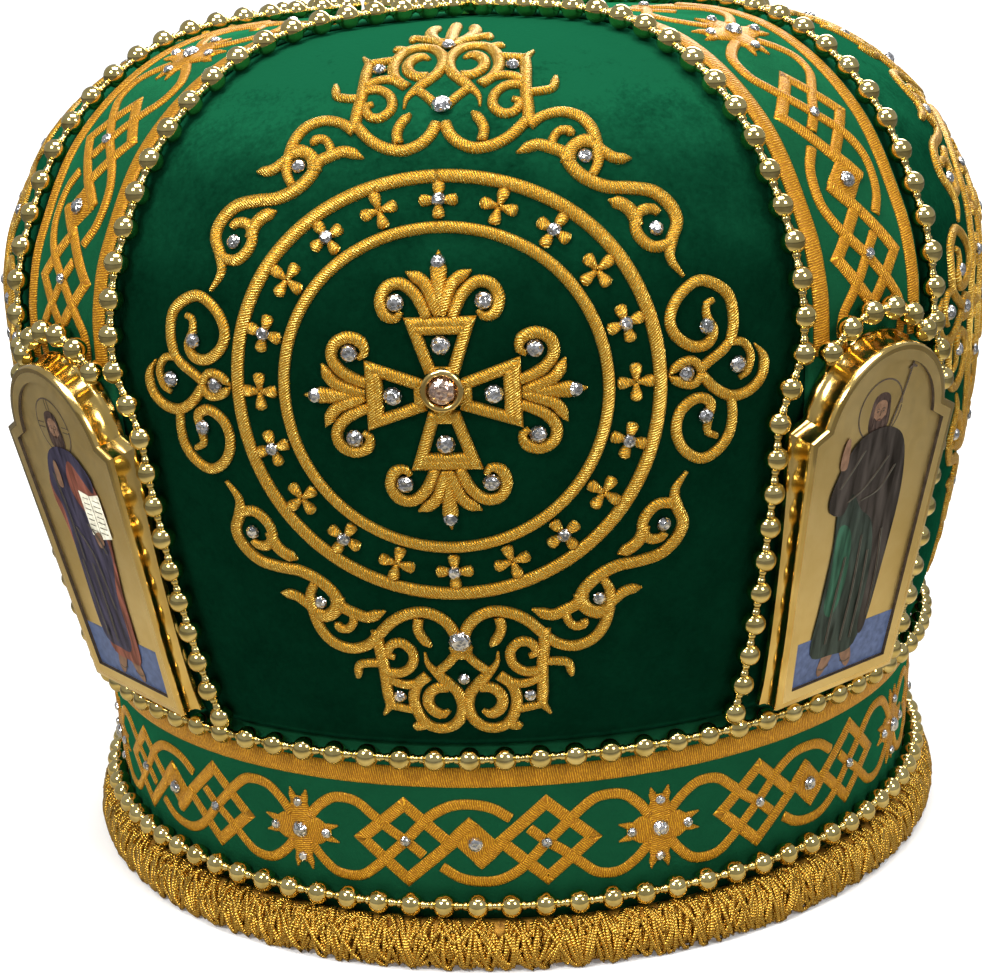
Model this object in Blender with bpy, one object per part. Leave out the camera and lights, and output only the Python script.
"""Crown mitre: a bulbous velvet crown on an upright circlet, crossed by four bands.

Metres, +Z up. The origin is on the floor, under the crown's axis, and the front faces -Y.
An azimuth is measured from the front towards +X. A rise is a length measured up the crown's
surface from its foot.
"""
import math

import bmesh
import bpy
import numpy as np
from mathutils import Vector

# Head opening and circlet
HEAD_RADIUS = 0.0970
WALL = 0.0030
CIRCLET_HEIGHT = 0.0505
CIRCLET_FLARE = 0.0022

# Crown
FOOT_STEP = 0.0008
BULGE_RADIUS = 0.1167
BULGE_HEIGHT = 0.1345
CROWN_TOP = 0.1949

# Clearance between neighbouring pieces
GAP = 0.0003

# Ball chain
BALL = 0.0048
BALL_PITCH = 0.0072
LINK_WIDTH = 0.0014
LOWER_ROW_HEIGHT = 0.0137
TOP_RING_RADIUS = 0.0255

# Bands
BAND_WIDTH = 0.0350
BAND_THICKNESS = 0.0010

# Arched plaques, measured on their front plate
PLAQUE_LIFT = 0.0041
PLAQUE_FOOT_WIDTH = 0.0350
PLAQUE_WIDTH = 0.0424
PLAQUE_SHOULDER = 0.0600
PLAQUE_ARCH = 0.0173
PLAQUE_STEP = 0.0020
PLAQUE_DEPTH = 0.0034
PLAQUE_LEAN = math.radians(2.6)
PLAQUE_SEARCH = 0.0204
FRAME_MARGIN = 0.0020
FRAME_BEVEL = 0.0012
FRAME_WALL = 0.0018
FRAME_BACK = 0.0016
PLATE_THICKNESS = 0.0006
ARCH_CENTRE_DROP = 0.0005
SHOULDER_SLOPE = 0.6
ARCH_BEAD_RADIUS = 0.0200
ARCH_BEAD_SLACK = 0.0014

# Embroidered crosses and their middle stones
CROSS_RISE = 0.0800
CROSS_REACH = 0.0250
CROSS_WIDTH = 0.0150
CROSS_THICKNESS = 0.0009
SETTING_RADIUS = 0.0043
SETTING_HEIGHT = 0.0013
STONE_RADIUS = 0.0026
STONE_HEIGHT = 0.0017

# Bullion trim
TRIM_WIDTH = 0.0070
TRIM_LOCK_DEPTH = 0.0012
TRIM_LOCKS = 36

# Plate where the bands meet
MEDALLION_THICKNESS = 0.0018
MEDALLION_DOME = 0.0012

# Facets round the crown and along a bead, and balls between two stations of a string
CROWN_SIDES = 48
BEAD_SIDES = 10
SETTING_SIDES = 10
STONE_SIDES = 8
MEDALLION_SIDES = 20
ARCH_STEPS = 12
EDGE_STEPS = 4
STRING_STATION = 2.4

PANELS = {"front": 0, "right": 90, "back": 180, "left": 270}
BANDS = {"front_right": 45, "back_right": 135, "back_left": 225, "front_left": 315}

# Crown from its foot to its widest: share of that height, share of that spread
FLARE = [(0.00, 0.00), (0.10, 0.21), (0.28, 0.47), (0.52, 0.75), (0.76, 0.945)]
# Crown from its widest to its top: share of that height, share of the widest radius
DOME = [(0.00, 1.000), (0.17, 0.991), (0.34, 0.962), (0.62, 0.880), (0.84, 0.746),
        (0.955, 0.590), (0.993, 0.360), (1.00, 0.000)]
# Edge string beside a plaque's shoulder: rise over the shoulder as a share of the arch,
# and how much of the way from the band's string line to the plaque's string line
STRING_STEP = [(0.28, 1.00), (0.48, 0.80), (0.72, 0.34), (0.92, 0.07), (1.10, 0.00)]
# Arm of a cross from its middle: share of the reach, share of the widest half width
ARM = [(0.126, 0.42), (0.62, 0.90), (0.665, 0.45), (0.78, 1.00), (1.00, 0.10)]
# Bead along its chain: place as a share of the ball, radius as a share of the ball's radius
BALL_SECTIONS = [(-0.33, 0.75), (0.0, 1.0), (0.33, 0.75)]
# Where a link leaves its ball, as a share of the ball
LINK_FOOT = 0.48
# How far two strings stop short of the place where they would meet, as a share of a ball
STRING_STOP = 0.72
# Stone cup from its bore: share of the way from bore to rim, share of its height
CUP_SECTION = [(0.0, 0.0), (0.0, 0.7), (0.5, 1.0), (1.0, 0.4), (1.0, 0.0)]
# Stone from its foot to its table: share of its radius, share of its height
STONE_SECTION = [(0.0, 0.0), (0.70, 0.0), (0.95, 0.45), (0.55, 1.0), (0.0, 1.0)]
# Face of the top plate from its edge: share of its radius, share of its dome
PLATE_SECTION = [(1.0, 0.0), (0.88, 0.5), (0.80, 0.0), (0.45, 0.7), (0.0, 1.0)]
# Lock of bullion from its top inside edge: share of the trim's width, share of its height
TRIM_SECTION = [(0.0, 1.0), (0.62, 1.0), (1.0, 0.52), (0.84, 0.0), (0.0, 0.0)]
# How far each trim edge takes part in the locks
TRIM_RELIEF = [0.0, 0.6, 1.0, 0.6, 0.0]


def clear_scene():
    for item in list(bpy.data.objects):
        bpy.data.objects.remove(item, do_unlink=True)


def make_material(name, colour, metallic, roughness):
    material = bpy.data.materials.new(name)
    material.use_nodes = True
    shader = material.node_tree.nodes["Principled BSDF"]
    shader.inputs["Base Color"].default_value = (*colour, 1.0)
    shader.inputs["Metallic"].default_value = metallic
    shader.inputs["Roughness"].default_value = roughness
    material.diffuse_color = (*colour, 1.0)
    return material


def add_mesh(name, points, faces, material, sharp_angle=40):
    """One closed body with its faces pointing out and its round parts shaded smooth."""
    mesh = bpy.data.meshes.new(name)
    mesh.from_pydata([tuple(point) for point in points], [], faces)
    body = bmesh.new()
    body.from_mesh(mesh)
    bmesh.ops.recalc_face_normals(body, faces=body.faces)
    body.to_mesh(mesh)
    body.free()
    mesh.shade_smooth()
    mesh.set_sharp_from_angle(angle=math.radians(sharp_angle))
    mesh.materials.append(material)
    item = bpy.data.objects.new(name, mesh)
    bpy.context.collection.objects.link(item)
    return item


def bridge(first, second, count, closed=True):
    """Quads between two rows of points that start at the given numbers."""
    last = count if closed else count - 1
    return [(first + i, first + (i + 1) % count, second + (i + 1) % count, second + i)
            for i in range(last)]


def revolve(name, section, sides, material, sharp_angle=40):
    """Turn a closed section of (radius, height) round the axis; radius 0 makes a pole."""
    points = []
    starts = []
    for radius, height in section:
        starts.append(len(points))
        turns = sides if radius > 0 else 1
        for turn in range(turns):
            angle = 2 * math.pi * turn / sides
            points.append((radius * math.sin(angle), -radius * math.cos(angle), height))
    faces = []
    for row, start in enumerate(starts):
        following = (row + 1) % len(starts)
        pole = section[row][0] == 0
        next_pole = section[following][0] == 0
        if pole and next_pole:
            continue
        if pole or next_pole:
            ring = starts[following] if pole else start
            tip = start if pole else starts[following]
            faces += [(tip, ring + i, ring + (i + 1) % sides) for i in range(sides)]
        else:
            faces += bridge(start, starts[following], sides)
    return add_mesh(name, points, faces, material, sharp_angle)


def smooth_through(rows, steps):
    """Catmull-Rom curve through rows of numbers."""
    rows = np.array(rows, dtype=float)
    before = 2 * rows[0] - rows[1]
    after = 2 * rows[-1] - rows[-2]
    padded = np.vstack([before, rows, after])
    curve = []
    for i in range(1, len(padded) - 2):
        a, b, c, d = padded[i - 1:i + 3]
        for step in range(steps):
            t = step / steps
            curve.append(0.5 * (2 * b + (c - a) * t + (2 * a - 5 * b + 4 * c - d) * t ** 2
                                + (3 * b - a - 3 * c + d) * t ** 3))
    curve.append(rows[-1])
    return np.array(curve)


class Crown:
    """The crown's outer surface, read by rise and azimuth."""

    STEPS = 24

    def __init__(self):
        foot = circlet_radius(CIRCLET_HEIGHT) + FOOT_STEP
        base = CIRCLET_HEIGHT + GAP
        rows = [(foot + spread * (BULGE_RADIUS - foot), base + rise * (BULGE_HEIGHT - base))
                for rise, spread in FLARE]
        rows += [(share * BULGE_RADIUS, BULGE_HEIGHT + rise * (CROWN_TOP - BULGE_HEIGHT))
                 for rise, share in DOME]
        self.line = smooth_through(rows, self.STEPS)
        self.line[-1, 0] = 0.0
        lengths = np.hypot(*np.diff(self.line, axis=0).T)
        self.rises = np.concatenate([[0.0], np.cumsum(lengths)])
        self.sections = self.rises[::self.STEPS]
        slope = np.gradient(self.line, self.rises, axis=0)
        self.normals = np.stack([slope[:, 1], -slope[:, 0]], axis=1)
        self.normals /= np.linalg.norm(self.normals, axis=1)[:, None]

    def at(self, rise, offset=0.0):
        """Radius and height at a rise, moved out along the normal."""
        radius, height, out, up = (np.interp(rise, self.rises, column)
                                   for column in (*self.line.T, *self.normals.T))
        return float(radius + offset * out), float(height + offset * up)

    def point(self, azimuth, rise, offset=0.0):
        radius, height = self.at(rise, offset)
        return Vector((radius * math.sin(azimuth), -radius * math.cos(azimuth), height))

    def beside(self, azimuth, rise, lateral, offset=0.0):
        """Point a lateral length to one side of the meridian at the azimuth."""
        radius = self.at(rise, offset)[0]
        return self.point(azimuth + math.asin(lateral / radius), rise, offset)

    def outward(self, azimuth, rise):
        """Unit vector straight out of the surface."""
        return (self.point(azimuth, rise, 1.0) - self.point(azimuth, rise)).normalized()

    def radius_at_height(self, height):
        return float(np.interp(height, self.line[:, 1], self.line[:, 0]))

    def rise_at_radius(self, radius):
        """Rise where the dome has narrowed to a radius."""
        widest = int(np.argmax(self.line[:, 0]))
        return float(np.interp(-radius, -self.line[widest:, 0], self.rises[widest:]))


def circlet_radius(height):
    return HEAD_RADIUS + WALL + CIRCLET_FLARE * height / CIRCLET_HEIGHT


def build_crown_shell(crown, material):
    outside = [crown.at(rise) for rise in crown.sections[:-1]]
    inside = [crown.at(rise, -WALL) for rise in crown.sections[1:-2:2]]
    foot_radius, foot_height = crown.at(0.0)
    section = outside + [(0.0, CROWN_TOP), (0.0, CROWN_TOP - WALL)]
    section += inside[::-1] + [(foot_radius - WALL, foot_height)]
    return revolve("crown_shell", section, CROWN_SIDES, material, 60)


def build_circlet(material):
    section = [(circlet_radius(0.0), 0.0), (circlet_radius(CIRCLET_HEIGHT), CIRCLET_HEIGHT),
               (circlet_radius(CIRCLET_HEIGHT) - WALL, CIRCLET_HEIGHT), (HEAD_RADIUS, 0.0)]
    return revolve("circlet", section, CROWN_SIDES, material)


def build_trim(material):
    """Looped bullion as slanting locks fused to a ring that backs them."""
    height = LOWER_ROW_HEIGHT - BALL / 2 - GAP
    inner = circlet_radius(height) + GAP
    columns = TRIM_LOCKS * 2
    points = []
    for row, (out, up) in enumerate(TRIM_SECTION):
        for column in range(columns):
            slant = 1 if up < 0.5 else 0
            valley = (column + slant) % 2
            relief = TRIM_RELIEF[row] * TRIM_LOCK_DEPTH * valley
            radius = inner + out * TRIM_WIDTH - relief
            angle = 2 * math.pi * column / columns
            points.append((radius * math.sin(angle), -radius * math.cos(angle), up * height))
    rows = len(TRIM_SECTION)
    faces = []
    for row in range(rows):
        faces += bridge(row * columns, (row + 1) % rows * columns, columns)
    return add_mesh("bullion_trim", points, faces, material, 60)


def build_tube(name, points, material, cyclic=False):
    curve = bpy.data.curves.new(name, "CURVE")
    curve.dimensions = "3D"
    curve.bevel_depth = BALL / 2
    curve.bevel_resolution = 2
    curve.use_fill_caps = not cyclic
    spline = curve.splines.new("POLY")
    spline.points.add(len(points) - 1)
    for target, point in zip(spline.points, points):
        target.co = (*point, 1.0)
    spline.use_cyclic_u = cyclic
    spline.use_smooth = True
    curve.materials.append(material)
    item = bpy.data.objects.new(name, curve)
    bpy.context.collection.objects.link(item)
    return item


def ring_points(radius, height, count):
    return [Vector((radius * math.sin(2 * math.pi * i / count),
                    -radius * math.cos(2 * math.pi * i / count), height))
            for i in range(count)]


def build_bead_rows(material):
    stand = BALL / 2 + GAP
    upper_height = CIRCLET_HEIGHT - BALL / 2
    for name, height in (("bead_row_lower", LOWER_ROW_HEIGHT), ("bead_row_upper", upper_height)):
        radius = circlet_radius(height) + stand
        build_tube(name, ring_points(radius, height, CROWN_SIDES), material, cyclic=True)


def band_string_lateral():
    return BAND_WIDTH / 2 + GAP + BALL / 2


def plaque_string_lateral():
    return PLAQUE_WIDTH / 2 + FRAME_MARGIN + GAP + BALL / 2


def string_lateral(rise):
    """How far an edge string lies from its band's middle at a rise."""
    shoulder = PLAQUE_LIFT + PLAQUE_SHOULDER
    rises = [shoulder + share * PLAQUE_ARCH for share, _ in STRING_STEP]
    shares = [share for _, share in STRING_STEP]
    share = float(np.interp(rise, rises, shares))
    spread = plaque_string_lateral() - band_string_lateral()
    return band_string_lateral() + share * spread


def build_bead_strings(crown, material):
    """Both edge strings of each band, from the upper bead row to the meeting at the top."""
    stand = BALL / 2 + GAP
    start = 4 * GAP
    # The two strings of one panel would meet here, and stop a good half ball short of it
    meeting = band_string_lateral() / math.sin(math.radians(45))
    end = crown.rise_at_radius(meeting + STRING_STOP * BALL)
    count = round((end - start) / (STRING_STATION * BALL))
    rises = [start + (end - start) * i / count for i in range(count + 1)]
    for band, degrees in BANDS.items():
        for side, sign in (("a", -1), ("b", 1)):
            points = [crown.beside(math.radians(degrees), rise, sign * string_lateral(rise), stand)
                      for rise in rises]
            build_tube(f"bead_string_{band}_{side}", points, material)


def build_band(crown, name, degrees, material):
    """A fabric strip on the crown, with its end cut round the top bead ring."""
    azimuth = math.radians(degrees)
    top = crown.rise_at_radius(TOP_RING_RADIUS + BALL / 2 + GAP)
    rises = [2 * GAP] + [rise for rise in crown.sections[1:] if rise < top - BALL] + [top]
    shares = [-1.0, -0.5, 0.0, 0.5, 1.0]
    points = []
    for offset in (GAP, GAP + BAND_THICKNESS):
        for rise in rises:
            points += [crown.beside(azimuth, rise, share * BAND_WIDTH / 2, offset)
                       for share in shares]
    across = len(shares)
    layer = across * len(rises)
    faces = []
    for row in range(len(rises) - 1):
        for level in (0, layer):
            start = level + row * across
            faces += bridge(start, start + across, across, closed=False)
        for edge in (0, across - 1):
            start = row * across + edge
            faces.append((start, start + across, layer + start + across, layer + start))
    for start in (0, layer - across):
        faces += bridge(start, layer + start, across, closed=False)
    return add_mesh(name, points, faces, material, 50)


def divided(start, end, steps):
    """Points from start up to, but not at, end."""
    return [(start[0] + (end[0] - start[0]) * i / steps, start[1] + (end[1] - start[1]) * i / steps)
            for i in range(steps)]


def plaque_outline(margin=0.0, steps=1):
    """Outline of a plaque in its own plane, anticlockwise from its lower left corner."""
    centre = PLAQUE_SHOULDER - ARCH_CENTRE_DROP
    foot = (PLAQUE_FOOT_WIDTH / 2 + margin, -margin)
    shoulder = (PLAQUE_WIDTH / 2 + margin, PLAQUE_SHOULDER + margin * SHOULDER_SLOPE)
    radius = PLAQUE_ARCH + margin
    lip = math.asin((shoulder[1] + PLAQUE_STEP - centre) / radius)
    arch = [(radius * math.cos(angle), centre + radius * math.sin(angle))
            for angle in np.linspace(lip, math.pi - lip, ARCH_STEPS + 1)]
    far_shoulder = (-shoulder[0], shoulder[1])
    far_foot = (-foot[0], foot[1])
    outline = divided(far_foot, foot, steps) + divided(foot, shoulder, steps) + [shoulder]
    return outline + arch + divided(far_shoulder, far_foot, steps)


def frame_front():
    """Depth of the frame's front over the crown's middle point, in the plaque's plane."""
    return BAND_THICKNESS + PLAQUE_DEPTH - PLATE_THICKNESS - GAP


def frame_floor():
    return frame_front() - FRAME_BACK


def plaque_height():
    return max(up for _, up in plaque_outline())


class PlaquePlane:
    """The flat of a plaque, laid against the crown over its band with its foot drawn in."""

    def __init__(self, crown, degrees):
        self.crown = crown
        azimuth = math.radians(degrees)
        half = plaque_height() / 2
        rise = PLAQUE_LIFT + half
        self.half = half
        self.middle = crown.point(azimuth, rise)
        above = crown.point(azimuth, rise + half / 2)
        below = crown.point(azimuth, rise - half / 2)
        rising = (above - below).normalized()
        self.across = Vector((math.cos(azimuth), math.sin(azimuth), 0.0))
        outward = self.across.cross(rising)
        self.up = rising * math.cos(PLAQUE_LEAN) + outward * math.sin(PLAQUE_LEAN)
        self.out = self.across.cross(self.up)
        # Where the crown bows out under the frame's floor, the plaque stands off by a gap
        spots = plaque_outline(FRAME_MARGIN - FRAME_WALL, EDGE_STEPS)
        spots += divided((0.0, 0.0), (0.0, 2 * half), EDGE_STEPS)
        closest = max(self.depth_to_crown(*spot) for spot in spots)
        self.middle = self.middle + self.out * max(0.0, closest + GAP - frame_floor())

    def place(self, across, up, out):
        return (self.middle + self.across * across + self.up * (up - self.half)
                + self.out * out)

    def depth_to_crown(self, across, up):
        """How far out of the plane a line through a point meets the crown, band included."""
        low, high = -PLAQUE_SEARCH, PLAQUE_SEARCH
        for _ in range(30):
            middle = (low + high) / 2
            point = self.place(across, up, middle)
            stand = math.hypot(point.x, point.y) - self.crown.radius_at_height(point.z)
            if stand > BAND_THICKNESS + 2 * GAP:
                high = middle
            else:
                low = middle
        return high


def build_plaque(crown, name, degrees, frame_material, plate_material):
    """A tray-shaped gilt frame whose rim follows the crown, and the flat plate on it."""
    plane = PlaquePlane(crown, degrees)
    front = frame_front()
    outer = plaque_outline(FRAME_MARGIN, EDGE_STEPS)
    inner = plaque_outline(FRAME_MARGIN - FRAME_WALL, EDGE_STEPS)
    edge = plaque_outline(0.0, EDGE_STEPS)
    back = [plane.depth_to_crown(*spot) for spot in outer]
    inner_back = [plane.depth_to_crown(*spot) for spot in inner]
    rows = [
        [plane.place(*spot, depth) for spot, depth in zip(inner, inner_back)],
        [plane.place(*spot, depth) for spot, depth in zip(outer, back)],
        [plane.place(*spot, front - FRAME_BEVEL) for spot in outer],
        [plane.place(*spot, front) for spot in edge],
    ]
    count = len(outer)
    floor = [plane.place(*spot, frame_floor()) for spot in inner]
    rows.insert(0, floor)
    points = [point for row in rows for point in row]
    faces = []
    for row in range(len(rows) - 1):
        faces += bridge(row * count, (row + 1) * count, count)
    faces.append(tuple(range(count)))
    faces.append(tuple(range((len(rows) - 1) * count, len(rows) * count)))
    add_mesh(f"plaque_frame_{name}", points, faces, frame_material, 50)

    low = front + GAP
    high = low + PLATE_THICKNESS
    points = [plane.place(*spot, depth) for depth in (low, high) for spot in plaque_outline()]
    count = len(plaque_outline())
    faces = bridge(0, count, count)
    faces += [tuple(range(count)), tuple(range(count, 2 * count))]
    add_mesh(f"plaque_face_{name}", points, faces, plate_material, 30)


def build_arch_beads(crown, name, degrees, material):
    """Ball chain over a plaque's arch: balls and the thin links between them in one body."""
    azimuth = math.radians(degrees)
    stand = BALL / 2 + BAND_THICKNESS + 2 * GAP
    top = PLAQUE_LIFT + plaque_height() + FRAME_MARGIN + ARCH_BEAD_SLACK + BALL / 2 + GAP
    reach = band_string_lateral() - BALL - GAP
    half_angle = math.asin(reach / ARCH_BEAD_RADIUS)
    length = 2 * half_angle * ARCH_BEAD_RADIUS
    balls = round(length / BALL_PITCH) + 1
    pitch_angle = 2 * half_angle / (balls - 1)

    def on_arc(angle):
        rise = top - ARCH_BEAD_RADIUS * (1 - math.cos(angle))
        return crown.beside(azimuth, rise, ARCH_BEAD_RADIUS * math.sin(angle), stand)

    stations = []
    link = LINK_WIDTH / BALL
    for ball in range(balls):
        middle = -half_angle + ball * pitch_angle
        sections = list(BALL_SECTIONS)
        if ball > 0:
            sections.insert(0, (-LINK_FOOT, link))
        if ball < balls - 1:
            sections.append((LINK_FOOT, link))
        stations += [(middle + place * BALL / ARCH_BEAD_RADIUS, share) for place, share in sections]

    points = []
    for angle, share in stations:
        centre = on_arc(angle)
        along = (on_arc(angle + 0.01) - on_arc(angle - 0.01)).normalized()
        outward = Vector((centre.x, centre.y, 0.0)).normalized()
        side = along.cross(outward).normalized()
        lift = side.cross(along).normalized()
        for turn in range(BEAD_SIDES):
            bearing = 2 * math.pi * turn / BEAD_SIDES
            arm = side * math.cos(bearing) + lift * math.sin(bearing)
            points.append(centre + arm * (share * BALL / 2))
    faces = []
    for row in range(len(stations) - 1):
        faces += bridge(row * BEAD_SIDES, (row + 1) * BEAD_SIDES, BEAD_SIDES)
    end_angle = half_angle + BALL / 2 / ARCH_BEAD_RADIUS
    points += [on_arc(-end_angle), on_arc(end_angle)]
    first, last = len(points) - 2, len(points) - 1
    end = (len(stations) - 1) * BEAD_SIDES
    for turn in range(BEAD_SIDES):
        following = (turn + 1) % BEAD_SIDES
        faces.append((first, turn, following))
        faces.append((last, end + turn, end + following))
    add_mesh(f"arch_beads_{name}", points, faces, material, 60)


def build_cross(crown, name, degrees, material):
    """A raised cross with flared arms and leaf ends, bent to the crown."""
    azimuth = math.radians(degrees)
    centre = crown.at(CROSS_RISE)[0]

    def on_crown(across, up, offset):
        return crown.point(azimuth + across / centre, CROSS_RISE + up, offset)

    levels = (GAP, GAP + CROSS_THICKNESS)
    points = []
    for offset in levels:
        for quarter in range(4):
            turn = math.radians(90 * quarter)
            for reach, width in ARM:
                along = reach * CROSS_REACH
                half = width * CROSS_WIDTH / 2
                for side in (-half, half):
                    across = side * math.cos(turn) + along * math.sin(turn)
                    up = along * math.cos(turn) - side * math.sin(turn)
                    points.append(on_crown(across, up, offset))
    arm = 2 * len(ARM)
    layer = 4 * arm
    faces = []
    for level in (0, layer):
        for quarter in range(4):
            start = level + quarter * arm
            for row in range(len(ARM) - 1):
                spot = start + 2 * row
                faces.append((spot, spot + 1, spot + 3, spot + 2))
    outline = []
    for quarter in range(4):
        start = quarter * arm
        outline += [start + 2 * row for row in range(len(ARM))]
        outline += [start + 2 * row + 1 for row in reversed(range(len(ARM)))]
    for level in (0, layer):
        corners = []
        for quarter in range(4):
            corners += [level + quarter * arm, level + quarter * arm + 1]
        faces.append(tuple(corners))
    for here, following in zip(outline, outline[1:] + outline[:1]):
        faces.append((here, following, layer + following, layer + here))
    add_mesh(f"cross_{name}", points, faces, material, 50)


def build_stone(crown, name, degrees, cup_material, stone_material):
    """A round cup on the cross and the faceted stone that stands in it."""
    azimuth = math.radians(degrees)
    seat = crown.point(azimuth, CROSS_RISE, 2 * GAP + CROSS_THICKNESS)
    out = crown.outward(azimuth, CROSS_RISE)
    across = Vector((math.cos(azimuth), math.sin(azimuth), 0.0))
    up = out.cross(across)

    def turned(item_name, section, sides, material, sharp):
        item = revolve(item_name, section, sides, material, sharp)
        for vertex in item.data.vertices:
            x, y, z = vertex.co
            vertex.co = seat + across * x + up * y + out * z
        return item

    bore = STONE_RADIUS + GAP
    cup = [(bore + across_share * (SETTING_RADIUS - bore), height_share * SETTING_HEIGHT)
           for across_share, height_share in CUP_SECTION]
    turned(f"cross_setting_{name}", cup, SETTING_SIDES, cup_material, 50)
    stone = [(radius_share * STONE_RADIUS, height_share * STONE_HEIGHT)
             for radius_share, height_share in STONE_SECTION]
    turned(f"cross_stone_{name}", stone, STONE_SIDES, stone_material, 5)


def build_top(crown, plate_material, bead_material):
    """The plain plate where the bands meet, and the ball chain round it."""
    surface = crown.at(crown.rise_at_radius(TOP_RING_RADIUS))[1]
    ring = ring_points(TOP_RING_RADIUS, surface + BALL / 2 + 2 * GAP, MEDALLION_SIDES)
    build_tube("top_bead_ring", ring, bead_material, cyclic=True)
    edge = TOP_RING_RADIUS - BALL / 2 - GAP
    base = CROWN_TOP + GAP
    rim = base + MEDALLION_THICKNESS
    section = [(0.0, base), (edge, base)]
    section += [(radius_share * edge, rim + dome_share * MEDALLION_DOME)
                for radius_share, dome_share in PLATE_SECTION]
    revolve("top_medallion", section, MEDALLION_SIDES, plate_material, 50)


def main():
    clear_scene()
    velvet = make_material("velvet", (0.004, 0.075, 0.028), 0.0, 0.9)
    band_cloth = make_material("band_cloth", (0.012, 0.16, 0.06), 0.0, 0.8)
    gilt = make_material("gilt", (0.80, 0.60, 0.24), 1.0, 0.2)
    plate = make_material("gilt_plate", (0.72, 0.55, 0.28), 0.9, 0.35)
    thread = make_material("gold_thread", (0.72, 0.42, 0.05), 0.3, 0.5)
    bullion = make_material("bullion", (0.70, 0.42, 0.05), 0.6, 0.4)
    rose_stone = make_material("rose_stone", (0.75, 0.50, 0.42), 0.0, 0.05)

    crown = Crown()
    build_crown_shell(crown, velvet)
    build_circlet(band_cloth)
    build_trim(bullion)
    build_bead_rows(gilt)
    build_bead_strings(crown, gilt)
    build_top(crown, gilt, gilt)
    for name, degrees in BANDS.items():
        build_band(crown, f"band_{name}", degrees, band_cloth)
        build_plaque(crown, name, degrees, gilt, plate)
        build_arch_beads(crown, name, degrees, gilt)
    for name, degrees in PANELS.items():
        build_cross(crown, name, degrees, thread)
        build_stone(crown, name, degrees, gilt, rose_stone)


main()
